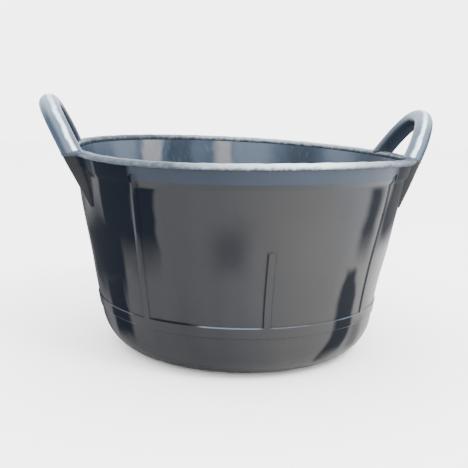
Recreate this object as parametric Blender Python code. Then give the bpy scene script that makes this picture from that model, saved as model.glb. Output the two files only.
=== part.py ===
"""Flexible rubber tub with two loop handles, for carrying feed, water and bedding.

The origin is the middle of the flat bottom, on the ground. +Z is up, and +X runs from the left
handle to the right one. Lengths are in metres.

The real tub is laid up by hand from rubber blanks and cured in one mould, so each blank and
each raised form is a solid of its own here, with a hairline gap to its neighbours.
"""

import math

import bmesh
import bpy
from mathutils import Vector

# The tub as a whole
TUB_HEIGHT = 0.266           # ground to the top of the rim
RIM_RADIUS = 0.230           # outer edge of the rim bead
WALL_FOOT_RADIUS = 0.177     # outer wall line, carried on straight down to the ground
BEAD_OVERHANG = 0.007        # rim bead's outer edge beyond the outer wall line
WALL_THICKNESS = 0.006
FLOOR_THICKNESS = 0.007

# Rounded corner between floor and wall
FLAT_RADIUS = 0.132          # flat part of the bottom
CORNER_HEIGHT = 0.050        # where the corner runs into the straight wall
CORNER_FULLNESS = 0.65       # share of the way that the curve's handles reach into the corner

# Raised strips on the wall
RELIEF = 0.0015              # how far band and ribs stand out of the wall
BAND_BOTTOM = 0.058
BAND_HEIGHT = 0.014
BAND_EDGE = 0.0005           # chamfer on the band's two edges
COLLAR_HEIGHT = 0.016        # straight part of the collar under the bead
COLLAR_CHAMFER = 0.006       # height of the slope below it
COLLAR_PROUD_TOP = 0.0038    # how far the collar's top stands out of the wall line
COLLAR_PROUD_BOTTOM = 0.0026
COLLAR_PROUD_FOOT = 0.00075  # the same at the foot of the slope
RIB_WIDTH = 0.0092
SHORT_RIB_TOP = 0.165        # height of the short ribs' round tops above the ground
LONG_RIB_ANGLE = 45          # degrees from the front or back middle, over the blanks' seams

# Rim bead
BEAD_HEIGHT = 0.0072
BEAD_ROUNDING = 0.0034

# Handles
ROD_RADIUS = 0.0122          # round rubber rod of the handle loop
CORD_RADIUS = 0.004          # textile cord inside the rod
CORD_END_REACH = 0.00625     # how far the cord runs on below the bending line, into each foot
LOOP_HALF_SPAN = 0.056       # half the distance between the legs at the loop's start
LOOP_REACH = 0.061           # from the loop's start to the middle of the grip
LOOP_START_DEPTH = 0.004     # the loop's start below the top of the rim
LOOP_LEAN = 30.5             # degrees out from upright
LOOP_SQUARENESS = 2.45       # 2 is an ellipse, more is squarer
LOOP_TAPER = 0.34            # share of the span lost towards the grip
PIVOT_RISE = 0.009           # bending line of the legs above the top of the rim
FOOT_RADIUS = 0.0125         # rounded underside of each leg about its bending line
SEAT_CLEARANCE = 0.0004      # between a foot and the seat that it turns in
SEAT_END_CLEARANCE = 0.0008  # between a foot's inner side and the end of its seat

# Handle roots
ROOT_LENGTH = 0.068          # from the top of the rim down to the root's tip
ROOT_HALF_WIDTH = 0.0145     # at the lip
ROOT_TIP_HALF_WIDTH = 0.0025
ROOT_TIP_PROUD = 0.0022      # how far the tip stands out of the wall line
LIP_MARGIN = 0.0014          # lip of the ear beyond the rod and beyond the root below it

# Fits and fineness
GAP = 0.0003                 # hairline between neighbouring blanks
TOUCHING = 0.00001           # points closer than this are one point
CUT_MARGIN = 0.0136          # how far a cutter runs on past what it cuts
SEGMENTS = 72                # facets round the tub
SHARP_ANGLE = 35             # degrees between two facets that show as an edge
CORNER_STEPS = 7
BEAD_ARC_STEPS = 3
ROD_SIDES = 16
LOOP_STEPS = 24
LOOP_SAMPLES = 960           # points measured along the loop to space its rings evenly
FOOT_RINGS = (1.0, 0.85, 0.6)  # rings on a foot's underside, as shares of the rod's radius
SEAT_SIDES = 40
ROOT_STEPS = 10
RIB_TOP_STEPS = 6

# Working values that follow from the sizes above
WALL_TOP_RADIUS = RIM_RADIUS - BEAD_OVERHANG
BEAD_BOTTOM = TUB_HEIGHT - BEAD_HEIGHT
COLLAR_BOTTOM = BEAD_BOTTOM - COLLAR_HEIGHT
PANEL_TOP = COLLAR_BOTTOM - COLLAR_CHAMFER
BAND_TOP = BAND_BOTTOM + BAND_HEIGHT
LEAN = math.radians(LOOP_LEAN)
LOOP_PLANE_X = math.sqrt(RIM_RADIUS ** 2 - LOOP_HALF_SPAN ** 2)
PIVOT_HEIGHT = TUB_HEIGHT + PIVOT_RISE
PIVOT_X = LOOP_PLANE_X + PIVOT_RISE * math.tan(LEAN)
SEAT_RADIUS = FOOT_RADIUS + SEAT_CLEARANCE
FACET_ANGLE = 2 * math.pi / SEGMENTS


def remove_all_objects():
    """Empties the scene that the script starts in."""
    for old in list(bpy.data.objects):
        bpy.data.objects.remove(old, do_unlink=True)


def finish(name, colour, roughness):
    """Plain material in the colour and gloss of one of the tub's finishes."""
    material = bpy.data.materials.new(name)
    material.use_nodes = True
    shader = material.node_tree.nodes["Principled BSDF"]
    shader.inputs["Base Color"].default_value = (*colour, 1.0)
    shader.inputs["Roughness"].default_value = roughness
    shader.inputs["Metallic"].default_value = 0.0
    return material


def add_object(name, shape, material, parent=None):
    """Turns a bmesh into a named object with outward faces and smooth round surfaces."""
    bmesh.ops.recalc_face_normals(shape, faces=shape.faces)
    mesh = bpy.data.meshes.new(name)
    shape.to_mesh(mesh)
    shape.free()
    mesh.shade_smooth()
    mesh.set_sharp_from_angle(angle=math.radians(SHARP_ANGLE))
    if material is not None:
        mesh.materials.append(material)
    made = bpy.data.objects.new(name, mesh)
    bpy.context.scene.collection.objects.link(made)
    if parent is not None:
        made.parent = parent
        made.matrix_parent_inverse = parent.matrix_world.inverted()
    return made


def add_pivot(name, side):
    """Empty on the line about which a handle bends."""
    pivot = bpy.data.objects.new(name, None)
    pivot.location = (side * PIVOT_X, 0.0, PIVOT_HEIGHT)
    bpy.context.scene.collection.objects.link(pivot)
    bpy.context.view_layer.update()
    return pivot


def wall_line(height):
    """Outer radius of the plain wall at a height."""
    return WALL_FOOT_RADIUS + (WALL_TOP_RADIUS - WALL_FOOT_RADIUS) * height / TUB_HEIGHT


def corner_curve():
    """Outer line of the rounded corner from the flat bottom to the wall, as radius and height."""
    start = Vector((FLAT_RADIUS, 0.0))
    corner = Vector((WALL_FOOT_RADIUS, 0.0))
    end = Vector((wall_line(CORNER_HEIGHT), CORNER_HEIGHT))
    near = start.lerp(corner, CORNER_FULLNESS)
    far = end.lerp(corner, CORNER_FULLNESS)
    points = []
    for step in range(CORNER_STEPS + 1):
        t = step / CORNER_STEPS
        points.append(
            start * (1 - t) ** 3
            + near * 3 * t * (1 - t) ** 2
            + far * 3 * t ** 2 * (1 - t)
            + end * t ** 3
        )
    return points


def turned(profile):
    """Turns a profile of radius and height points about the Z axis, closed if it is a ring."""
    shape = bmesh.new()
    on_axis = profile[0][0] == 0.0 and profile[-1][0] == 0.0
    start = FACET_ANGLE / 2
    verts = [
        shape.verts.new((r * math.cos(start), r * math.sin(start), z)) for r, z in profile
    ]
    for first, second in zip(verts, verts[1:]):
        shape.edges.new((first, second))
    if not on_axis:
        shape.edges.new((verts[-1], verts[0]))
    bmesh.ops.spin(
        shape,
        geom=shape.verts[:] + shape.edges[:],
        cent=(0.0, 0.0, 0.0),
        axis=(0.0, 0.0, 1.0),
        angle=2 * math.pi,
        steps=SEGMENTS,
    )
    bmesh.ops.remove_doubles(shape, verts=shape.verts, dist=TOUCHING)
    return shape


def skin(shape, rings, closed):
    """Joins rings of points with quads, and gives back the rings' vertices."""
    made = [[shape.verts.new(point) for point in ring] for ring in rings]
    pairs = list(zip(made, made[1:]))
    if closed:
        pairs.append((made[-1], made[0]))
    for ring, following in pairs:
        for side in range(len(ring)):
            beside = (side + 1) % len(ring)
            shape.faces.new((ring[side], ring[beside], following[beside], following[side]))
    return made


def solid_between(rings):
    """Closed shape through rings of points, with a flat face on the first and the last."""
    shape = bmesh.new()
    made = skin(shape, rings, closed=False)
    shape.faces.new(made[0])
    shape.faces.new(made[-1])
    return shape


def bottom_disc(material):
    """Flat round bottom."""
    edge = FLAT_RADIUS - GAP
    profile = [(0.0, 0.0), (edge, 0.0), (edge, FLOOR_THICKNESS), (0.0, FLOOR_THICKNESS)]
    return add_object("bottom_disc", turned(profile), material)


def blank_profile():
    """Section of a wall blank, up its outer face from the bottom to the bead and down inside."""
    outer = corner_curve()
    inner = []
    for index, point in enumerate(outer):
        before = outer[max(index - 1, 0)]
        after = outer[min(index + 1, len(outer) - 1)]
        along = (after - before).normalized()
        share = index / (len(outer) - 1)
        thickness = FLOOR_THICKNESS + (WALL_THICKNESS - FLOOR_THICKNESS) * share
        inner.append(point + Vector((-along.y, along.x)) * thickness)
    inner[0] = Vector((FLAT_RADIUS, FLOOR_THICKNESS))
    top = BEAD_BOTTOM - GAP
    outer.append(Vector((wall_line(top), top)))
    inner.append(Vector((wall_line(top) - WALL_THICKNESS, top)))
    return outer + inner[::-1]


def facet_share(angle):
    """Distance of a facet's face from the axis at an angle, as a share of its corners' radius."""
    offset = (angle + FACET_ANGLE / 2) % FACET_ANGLE - FACET_ANGLE / 2
    return math.cos(FACET_ANGLE / 2) / math.cos(offset)


def wall_blank(name, middle, half_width, material):
    """Part of the wall between two long ribs, with its share of the rounded corner.

    The seams to the next blanks lie under the ribs. Angles are in radians from +X.
    """
    seam = GAP / 2 / FLAT_RADIUS
    begin = middle - half_width + seam
    end = middle + half_width - seam
    corners = [(index + 1 / 2) * FACET_ANGLE for index in range(-SEGMENTS, SEGMENTS)]
    inside = [angle for angle in corners if begin + seam < angle < end - seam]
    rings = []
    for angle in [begin] + inside + [end]:
        share = facet_share(angle)
        rings.append([
            (radius * share * math.cos(angle), radius * share * math.sin(angle), height)
            for radius, height in blank_profile()
        ])
    return add_object(name, solid_between(rings), material)


def base_band(material):
    """Raised strip round the foot of the wall."""
    profile = [
        (wall_line(BAND_BOTTOM) + GAP, BAND_BOTTOM),
        (wall_line(BAND_BOTTOM) + RELIEF - BAND_EDGE, BAND_BOTTOM),
        (wall_line(BAND_BOTTOM) + RELIEF, BAND_BOTTOM + BAND_EDGE),
        (wall_line(BAND_TOP) + RELIEF, BAND_TOP - BAND_EDGE),
        (wall_line(BAND_TOP) + RELIEF - BAND_EDGE, BAND_TOP),
        (wall_line(BAND_TOP) + GAP, BAND_TOP),
    ]
    return add_object("base_band", turned(profile), material)


def collar_profile():
    """Outer face of the collar from the foot of its slope up to the bead."""
    top = BEAD_BOTTOM - GAP
    return [
        (wall_line(PANEL_TOP) + COLLAR_PROUD_FOOT, PANEL_TOP),
        (wall_line(COLLAR_BOTTOM) + COLLAR_PROUD_BOTTOM, COLLAR_BOTTOM),
        (wall_line(top) + COLLAR_PROUD_TOP, top),
    ]


def rim_collar(material):
    """Thicker strip round the wall under the bead, with a slope at its lower edge."""
    top = BEAD_BOTTOM - GAP
    inside = [(wall_line(top) + GAP, top), (wall_line(PANEL_TOP) + GAP, PANEL_TOP)]
    return add_object("rim_collar", turned(collar_profile() + inside), material)


def bead_profile():
    """Rounded section of the rim bead, from its inner lower corner over the top and out."""
    inner = wall_line(BEAD_BOTTOM) - WALL_THICKNESS
    rounding = BEAD_ROUNDING
    points = [(inner, BEAD_BOTTOM)]
    arcs = (
        (inner + rounding, TUB_HEIGHT - rounding, 180, 90),
        (RIM_RADIUS - rounding, TUB_HEIGHT - rounding, 90, 0),
        (RIM_RADIUS - rounding, BEAD_BOTTOM + rounding, 0, -60),
    )
    for centre_r, centre_z, begin, end in arcs:
        for step in range(BEAD_ARC_STEPS + 1):
            angle = math.radians(begin + (end - begin) * step / BEAD_ARC_STEPS)
            points.append(
                (centre_r + rounding * math.cos(angle), centre_z + rounding * math.sin(angle))
            )
    points.append((wall_line(BEAD_BOTTOM) + COLLAR_PROUD_TOP, BEAD_BOTTOM))
    return points


def loop_point(turn):
    """Centre line of a handle in its own plane: distance from its middle, distance along it."""
    power = 2 / LOOP_SQUARENESS
    along = abs(math.sin(turn)) ** power
    across = math.copysign(abs(math.cos(turn)) ** power, math.cos(turn))
    return LOOP_HALF_SPAN * across * (1 - LOOP_TAPER * along), LOOP_REACH * along


def loop_centres():
    """Evenly spaced centre points from one bending point over the grip to the other."""
    start_x = LOOP_PLANE_X - LOOP_START_DEPTH * math.tan(LEAN)
    start_z = TUB_HEIGHT - LOOP_START_DEPTH
    fine = []
    for step in range(LOOP_SAMPLES + 1):
        across, along = loop_point(math.pi * step / LOOP_SAMPLES)
        x = start_x + along * math.sin(LEAN)
        z = start_z + along * math.cos(LEAN)
        if z >= PIVOT_HEIGHT:
            fine.append(Vector((x, across, z)))
    lengths = [0.0]
    for first, second in zip(fine, fine[1:]):
        lengths.append(lengths[-1] + (second - first).length)
    centres = []
    index = 0
    for step in range(LOOP_STEPS + 1):
        wanted = lengths[-1] * step / LOOP_STEPS
        while index < len(lengths) - 2 and lengths[index + 1] < wanted:
            index += 1
        share = (wanted - lengths[index]) / (lengths[index + 1] - lengths[index])
        centres.append(fine[index].lerp(fine[index + 1], share))
    return centres


def loop_frames(centres):
    """Each centre point with its direction of travel, the loop's normal and the way across."""
    normal = Vector((math.cos(LEAN), 0.0, -math.sin(LEAN)))
    frames = []
    for index, centre in enumerate(centres):
        before = centres[max(index - 1, 0)]
        after = centres[min(index + 1, len(centres) - 1)]
        travel = (after - before).normalized()
        frames.append((centre, travel, normal, normal.cross(travel)))
    return frames


def ring_points(frame, radius):
    """Round section of the rod at one centre point."""
    centre, _, normal, across = frame
    points = []
    for side in range(ROD_SIDES):
        angle = 2 * math.pi * side / ROD_SIDES
        points.append(centre + (normal * math.cos(angle) + across * math.sin(angle)) * radius)
    return points


def foot_points(frame, radius):
    """Ring of a leg carried down onto the rounded foot about the bending line."""
    _, travel, _, across = frame
    upward = Vector((math.sin(LEAN), 0.0, math.cos(LEAN)))
    leg = travel if travel.dot(upward) > 0 else -travel
    points = []
    for side, point in enumerate(ring_points(frame, radius)):
        angle = 2 * math.pi * side / ROD_SIDES
        reach = math.sqrt(FOOT_RADIUS ** 2 - (radius * math.cos(angle)) ** 2)
        down = (reach + radius * math.sin(angle) * across.dot(upward)) / leg.dot(upward)
        points.append(point - leg * down)
    return points


def mirrored(shape, side):
    """Turns a shape made for the right side into the left one, where side is -1."""
    if side < 0:
        for vert in shape.verts:
            vert.co.x = -vert.co.x
    return shape


def handle_loop(name, side, material, pivot):
    """Rubber rod bent into a loop, bored for its cord, with rounded feet."""
    frames = loop_frames(loop_centres())
    bore = CORD_RADIUS + GAP
    foot_radii = [ROD_RADIUS * share for share in FOOT_RINGS] + [bore]
    rings = [ring_points(frame, ROD_RADIUS) for frame in frames]
    rings += [foot_points(frames[-1], radius) for radius in foot_radii]
    rings += [ring_points(frame, bore) for frame in reversed(frames)]
    rings += [foot_points(frames[0], radius) for radius in reversed(foot_radii)]
    shape = bmesh.new()
    skin(shape, rings, closed=True)
    return add_object(name, mirrored(shape, side), material, pivot)


def handle_cord(name, side, material, pivot):
    """Textile cord in the middle of the rod, ending inside each foot."""
    frames = loop_frames(loop_centres())
    rings = [ring_points(frame, CORD_RADIUS) for frame in frames]
    first_end = [point - frames[0][1] * CORD_END_REACH for point in rings[0]]
    last_end = [point + frames[-1][1] * CORD_END_REACH for point in rings[-1]]
    shape = solid_between([first_end] + rings + [last_end])
    return add_object(name, mirrored(shape, side), material, pivot)


def foot_span():
    """Lowest and highest y that the foot on the +Y side fills."""
    points = foot_points(loop_frames(loop_centres())[0], ROD_RADIUS)
    across = [abs(point.y) for point in points]
    return min(across), max(across)


def add_cutter(name, shape):
    """A shape that only cuts others, and isn't a piece of the tub."""
    cutter = add_object(name, shape, None)
    cutter.hide_render = True
    cutter.display_type = "WIRE"
    return cutter


def seat_cutter():
    """Four round bars that leave the troughs in which the handles' feet turn."""
    low, high = foot_span()
    low -= SEAT_END_CLEARANCE
    high += 2 * LIP_MARGIN
    shape = bmesh.new()
    for side in (-1, 1):
        for front in (-1, 1):
            rings = []
            for y in (front * low, front * high):
                ring = []
                for step in range(SEAT_SIDES):
                    angle = 2 * math.pi * step / SEAT_SIDES
                    x = side * PIVOT_X + SEAT_RADIUS * math.cos(angle)
                    z = PIVOT_HEIGHT + SEAT_RADIUS * math.sin(angle)
                    ring.append((x, y, z))
                rings.append(ring)
            made = skin(shape, rings, closed=False)
            shape.faces.new(made[0])
            shape.faces.new(made[-1])
    return add_cutter("seat_cutter", shape)


def tub_envelope():
    """Outside of wall, collar and bead with a hairline added, which the roots fit round."""
    below = TUB_HEIGHT - ROOT_LENGTH - CUT_MARGIN
    above = TUB_HEIGHT + CUT_MARGIN
    profile = [
        (0.0, below),
        (wall_line(below) + GAP, below),
        (wall_line(PANEL_TOP) + GAP, PANEL_TOP),
    ]
    profile += [(radius + GAP, height) for radius, height in collar_profile()]
    profile += [(RIM_RADIUS + GAP, BEAD_BOTTOM - GAP), (RIM_RADIUS + GAP, above), (0.0, above)]
    return add_cutter("tub_envelope", turned(profile))


def cut(target, cutter):
    """Takes the cutter's shape out of a piece."""
    boolean = target.modifiers.new("cut_" + cutter.name, "BOOLEAN")
    boolean.operation = "DIFFERENCE"
    boolean.solver = "EXACT"
    boolean.object = cutter


def rim_bead(material, seats):
    """Rounded lip round the mouth, with the seats of the handles' feet."""
    bead = add_object("rim_bead", turned(bead_profile()), material)
    cut(bead, seats)
    return bead


def root_section(height, half_width, outer, azimuth):
    """Half-round section of a handle root, open towards the wall."""
    outward = Vector((math.cos(azimuth), math.sin(azimuth), 0.0))
    sideways = Vector((-math.sin(azimuth), math.cos(azimuth), 0.0))
    inner = wall_line(height) - WALL_THICKNESS / 2
    points = []
    for step in range(ROOT_STEPS + 1):
        angle = math.pi * (step / ROOT_STEPS - 1 / 2)
        points.append(
            outward * (inner + (outer - inner) * math.cos(angle))
            + sideways * (half_width * math.sin(angle))
            + Vector((0.0, 0.0, height))
        )
    return points


def handle_root(name, side, front, material, envelope, seats):
    """Ear under a handle's foot, with the wedge that runs from it down the wall."""
    low, high = foot_span()
    middle = (low + high) / 2 + LIP_MARGIN
    leg_x = LOOP_PLANE_X + ROD_RADIUS / math.cos(LEAN) + LIP_MARGIN
    azimuth = math.asin(middle / RIM_RADIUS)
    lip = math.hypot(leg_x, middle)
    tip_height = TUB_HEIGHT - ROOT_LENGTH
    rings = [
        root_section(
            tip_height, ROOT_TIP_HALF_WIDTH, wall_line(tip_height) + ROOT_TIP_PROUD, azimuth
        ),
        root_section(
            BEAD_BOTTOM - GAP, ROOT_HALF_WIDTH - LIP_MARGIN, lip - LIP_MARGIN, azimuth
        ),
        root_section(BEAD_BOTTOM + LIP_MARGIN, ROOT_HALF_WIDTH, lip, azimuth),
        root_section(TUB_HEIGHT - LIP_MARGIN, ROOT_HALF_WIDTH, lip, azimuth),
        root_section(TUB_HEIGHT, ROOT_HALF_WIDTH - LIP_MARGIN, lip - LIP_MARGIN, azimuth),
    ]
    shape = solid_between(rings)
    for vert in shape.verts:
        vert.co.y = vert.co.y * front
    root = add_object(name, mirrored(shape, side), material)
    cut(root, envelope)
    cut(root, seats)
    return root


def rib(name, azimuth, top, round_top, material):
    """Raised strip up the middle of one wall facet, between the base band and its top."""
    bottom = BAND_TOP + GAP
    half = RIB_WIDTH / 2
    facing = Vector((math.sin(azimuth), -math.cos(azimuth), 0.0))
    sideways = Vector((math.cos(azimuth), math.sin(azimuth), 0.0))
    flat = math.cos(FACET_ANGLE / 2)
    outline = [(-half, bottom), (half, bottom)]
    if round_top:
        for step in range(RIB_TOP_STEPS + 1):
            angle = math.pi * step / RIB_TOP_STEPS
            outline.append((half * math.cos(angle), top - half + half * math.sin(angle)))
    else:
        outline += [(half, top), (-half, top)]
    rings = []
    for lift in (GAP, RELIEF):
        ring = []
        for across, height in outline:
            reach = wall_line(height) * flat + lift
            ring.append(facing * reach + sideways * across + Vector((0.0, 0.0, height)))
        rings.append(ring)
    return add_object(name, solid_between(rings), material)


remove_all_objects()

body_rubber = finish("body_rubber", (0.030, 0.034, 0.042), 0.38)
strip_rubber = finish("strip_rubber", (0.036, 0.041, 0.050), 0.40)
handle_rubber = finish("handle_rubber", (0.042, 0.048, 0.060), 0.33)
cord_textile = finish("cord_textile", (0.55, 0.52, 0.45), 0.90)

rib_angle = math.radians(LONG_RIB_ANGLE)
bottom_disc(body_rubber)
wall_blank("wall_blank_front", -math.pi / 2, rib_angle, body_rubber)
wall_blank("wall_blank_back", math.pi / 2, rib_angle, body_rubber)
wall_blank("wall_blank_right", 0.0, math.pi / 2 - rib_angle, body_rubber)
wall_blank("wall_blank_left", math.pi, math.pi / 2 - rib_angle, body_rubber)
base_band(strip_rubber)
rim_collar(strip_rubber)

seat_bars = seat_cutter()
envelope_guide = tub_envelope()
rim_bead(strip_rubber, seat_bars)

rib_top = PANEL_TOP - GAP
rib("short_rib_front", 0.0, SHORT_RIB_TOP, True, strip_rubber)
rib("short_rib_back", math.pi, SHORT_RIB_TOP, True, strip_rubber)
rib("long_rib_front_left", -rib_angle, rib_top, False, strip_rubber)
rib("long_rib_front_right", rib_angle, rib_top, False, strip_rubber)
rib("long_rib_back_left", math.pi + rib_angle, rib_top, False, strip_rubber)
rib("long_rib_back_right", math.pi - rib_angle, rib_top, False, strip_rubber)

for side_name, side in (("left", -1), ("right", 1)):
    for end_name, front in (("front", -1), ("back", 1)):
        handle_root(
            f"handle_root_{side_name}_{end_name}",
            side,
            front,
            strip_rubber,
            envelope_guide,
            seat_bars,
        )
    handle_pivot = add_pivot(f"{side_name}_handle_pivot", side)
    handle_loop(f"{side_name}_handle_loop", side, handle_rubber, handle_pivot)
    handle_cord(f"{side_name}_handle_cord", side, cord_textile, handle_pivot)
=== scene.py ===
import math

import bpy
import numpy as np
from mathutils import Matrix, Vector


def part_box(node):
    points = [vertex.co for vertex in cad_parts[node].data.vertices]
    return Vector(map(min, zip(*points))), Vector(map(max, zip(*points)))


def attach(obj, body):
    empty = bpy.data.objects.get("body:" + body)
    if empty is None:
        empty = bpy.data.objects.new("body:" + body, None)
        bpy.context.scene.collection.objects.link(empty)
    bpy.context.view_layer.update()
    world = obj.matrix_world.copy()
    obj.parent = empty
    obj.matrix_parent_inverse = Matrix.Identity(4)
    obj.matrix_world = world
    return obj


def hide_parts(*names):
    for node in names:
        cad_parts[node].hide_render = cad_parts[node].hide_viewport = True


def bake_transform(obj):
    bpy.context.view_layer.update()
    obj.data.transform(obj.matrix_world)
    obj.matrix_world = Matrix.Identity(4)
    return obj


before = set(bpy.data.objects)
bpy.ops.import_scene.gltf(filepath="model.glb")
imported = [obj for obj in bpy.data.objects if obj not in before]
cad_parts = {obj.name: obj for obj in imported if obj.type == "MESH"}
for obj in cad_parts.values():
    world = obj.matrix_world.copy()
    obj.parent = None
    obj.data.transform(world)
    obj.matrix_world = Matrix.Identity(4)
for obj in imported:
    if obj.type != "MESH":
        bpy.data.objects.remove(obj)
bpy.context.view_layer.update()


# Shell: the flat bottom, the rounded corner and the wall. Sheets of black rubber about 6 mm
# thick are laid into the mould and cured into one body. It comes out a little out of round,
# and its mouth dips on the side where the tub has been carried and leant on.
DEGREE = math.radians(1)
bead_low, bead_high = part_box("rim_bead")
collar_low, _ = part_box("rim_collar")
_, disc_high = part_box("bottom_disc")
_, band_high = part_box("base_band")
_, short_rib_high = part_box("short_rib_front")
# the plain solids have 72 flat sides, so their boxes stop a little short of the true radius
HALF_FACET = math.pi / 72
TUB_HEIGHT = bead_high.z
RIM_RADIUS = bead_high.y / math.cos(HALF_FACET)
BEAD_BOTTOM = bead_low.z
COLLAR_BOTTOM = BEAD_BOTTOM - 0.016
PANEL_TOP = collar_low.z
NOTCH_TOP = PANEL_TOP + 0.0125
BAND_TOP = band_high.z
SHORT_RIB_TOP = short_rib_high.z
FLOOR_THICKNESS = disc_high.z
FLAT_RADIUS = disc_high.y / math.cos(HALF_FACET)
WALL_THICKNESS = 0.006
WALL_FOOT_RADIUS = 0.177
WALL_TOP_RADIUS = RIM_RADIUS - 0.007
CORNER_HEIGHT = 0.050
CORNER_FULLNESS = 0.65
SHELL_TOP = TUB_HEIGHT - 0.003
# radii of the rings of points across the flat bottom, how many rings are on the corner and on
# the straight wall, and how many points a ring has
FLAT_RINGS = (0.015, 0.05, 0.09, 0.12)
CORNER_STEPS, WALL_STEPS = 26, 54
AROUND = 360
SHARP_EDGE = 50 * DEGREE

# How the real mouth and foot stand: metres, and directions turned from the front to the right
MOUTH_DROP = 0.0005
TILT, TILT_TOWARDS = 0.0035, 63.7 * DEGREE
SADDLE, SADDLE_HIGH = 0.0028, 27.6 * DEGREE
THIRD_WAVE, THIRD_WAVE_HIGH = 0.0010, 19.1 * DEGREE
MOUTH_SHIFT, MOUTH_SHIFT_TOWARDS = 0.0030, 81.2 * DEGREE
OVAL, OVAL_LONG = 0.00124, 71.4 * DEGREE
FOOT_SHIFT, FOOT_SHIFT_TOWARDS = 0.0032, 79 * DEGREE
FOOT_SHIFT_HEIGHT = 0.110
# Shallow dents and swells of a soft wall: waves round it, waves up it, start, depth
DENTS = (
    (3, 1.0, 0.4, 0.00040),
    (5, 1.6, 2.1, 0.00030),
    (8, 2.3, 4.0, 0.00022),
    (13, 3.1, 1.2, 0.00014),
    (21, 4.7, 5.3, 0.00007),
)


def smooth(value, low, high):
    """0 at low, 1 at high, and a soft change between them."""
    share = np.clip((value - low) / (high - low), 0, 1)
    return share * share * (3 - 2 * share)


def wall_line(height):
    """Outer radius of the plain wall at a height."""
    return WALL_FOOT_RADIUS + (WALL_TOP_RADIUS - WALL_FOOT_RADIUS) * height / TUB_HEIGHT


def settle(points):
    """Moves points of the true round tub to where the real, slightly crooked one has them."""
    points = np.asarray(points, float)
    x, y, z = points[..., 0], points[..., 1], points[..., 2]
    angle = np.arctan2(x, -y)
    radius = np.maximum(np.hypot(x, y), 1e-6)
    rise = np.clip(z / TUB_HEIGHT, 0, 1) ** 2
    lift = (
        -MOUTH_DROP
        - TILT * np.cos(angle - TILT_TOWARDS)
        + SADDLE * np.cos(2 * (angle - SADDLE_HIGH))
        + THIRD_WAVE * np.cos(3 * (angle - THIRD_WAVE_HIGH))
    )
    outward = OVAL * np.cos(2 * (angle - OVAL_LONG)) * rise
    for turns, waves, start, depth in DENTS:
        phase = turns * angle + start + 2 * math.pi * waves * z / TUB_HEIGHT
        outward = outward + depth * np.sin(phase) * np.clip(z / CORNER_HEIGHT, 0, 1)
    share = outward / radius * np.clip(radius / FLAT_RADIUS, 0, 1)
    mouth = MOUTH_SHIFT * rise
    foot = FOOT_SHIFT * (1 - smooth(z, 0, FOOT_SHIFT_HEIGHT))
    aside = mouth * math.sin(MOUTH_SHIFT_TOWARDS) + foot * math.sin(FOOT_SHIFT_TOWARDS)
    ahead = mouth * math.cos(MOUTH_SHIFT_TOWARDS) + foot * math.cos(FOOT_SHIFT_TOWARDS)
    return np.stack([x * (1 + share) + aside, y * (1 + share) - ahead, z + lift * rise], axis=-1)


def signed_volume(mesh):
    """Volume inside a mesh times six, below zero where its faces point in."""
    mesh.calc_loop_triangles()
    places = np.empty(len(mesh.vertices) * 3)
    mesh.vertices.foreach_get("co", places)
    corners = np.empty(len(mesh.loop_triangles) * 3, int)
    mesh.loop_triangles.foreach_get("vertices", corners)
    first, second, third = places.reshape(-1, 3)[corners.reshape(-1, 3)].transpose(1, 0, 2)
    return float(np.einsum("ij,ij->i", first, np.cross(second, third)).sum())


def skin(name, rings, closed, marks=None):
    """Closed surface through rings of points, joined end to end or with a face on each end.

    Each point keeps where it was laid, before it settled, and its values of any marks.
    """
    rings = np.asarray(rings, float)
    count, size = rings.shape[:2]
    index = np.arange(count * size).reshape(count, size)
    last = count if closed else count - 1
    here = index[:last]
    there = np.roll(index, -1, axis=0)[:last]
    quads = np.stack(
        [here, np.roll(here, -1, axis=1), np.roll(there, -1, axis=1), there], axis=-1
    )
    faces = quads.reshape(-1, 4).tolist()
    if not closed:
        faces.append(index[0][::-1].tolist())
        faces.append(index[-1].tolist())
    mesh = bpy.data.meshes.new(name)
    mesh.from_pydata(settle(rings).reshape(-1, 3).tolist(), [], faces)
    if signed_volume(mesh) < 0:
        mesh.flip_normals()
    mesh.shade_smooth()
    mesh.set_sharp_from_angle(angle=SHARP_EDGE)
    laid = mesh.attributes.new("laid_at", "FLOAT_VECTOR", "POINT")
    laid.data.foreach_set("vector", rings.reshape(-1).astype(np.float32))
    for mark, values in (marks or {}).items():
        made = mesh.attributes.new(mark, "FLOAT", "POINT")
        made.data.foreach_set("value", values.reshape(-1).astype(np.float32))
    piece = bpy.data.objects.new(name, mesh)
    bpy.context.scene.collection.objects.link(piece)
    return piece


def round_points(radius, angle, height):
    """Points by their radius, their angle from the front to the right, and their height."""
    radius, angle, height = np.broadcast_arrays(radius, angle, height)
    return np.stack([radius * np.sin(angle), -radius * np.cos(angle), height], axis=-1)


def turned(profile, angles):
    """Rings of points, one for each angle, with a profile of radius and height in each."""
    return round_points(profile[:, 0], angles[:, None], profile[:, 1])


def corner_line():
    """Outer line of the rounded corner, from the flat bottom to the straight wall."""
    start = np.array((FLAT_RADIUS, 0.0))
    corner = np.array((WALL_FOOT_RADIUS, 0.0))
    end = np.array((wall_line(CORNER_HEIGHT), CORNER_HEIGHT))
    near = start + (corner - start) * CORNER_FULLNESS
    far = end + (corner - end) * CORNER_FULLNESS
    t = np.linspace(0, 1, CORNER_STEPS)[:, None]
    return (
        start * (1 - t) ** 3
        + near * 3 * t * (1 - t) ** 2
        + far * 3 * t ** 2 * (1 - t)
        + end * t ** 3
    )


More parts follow.
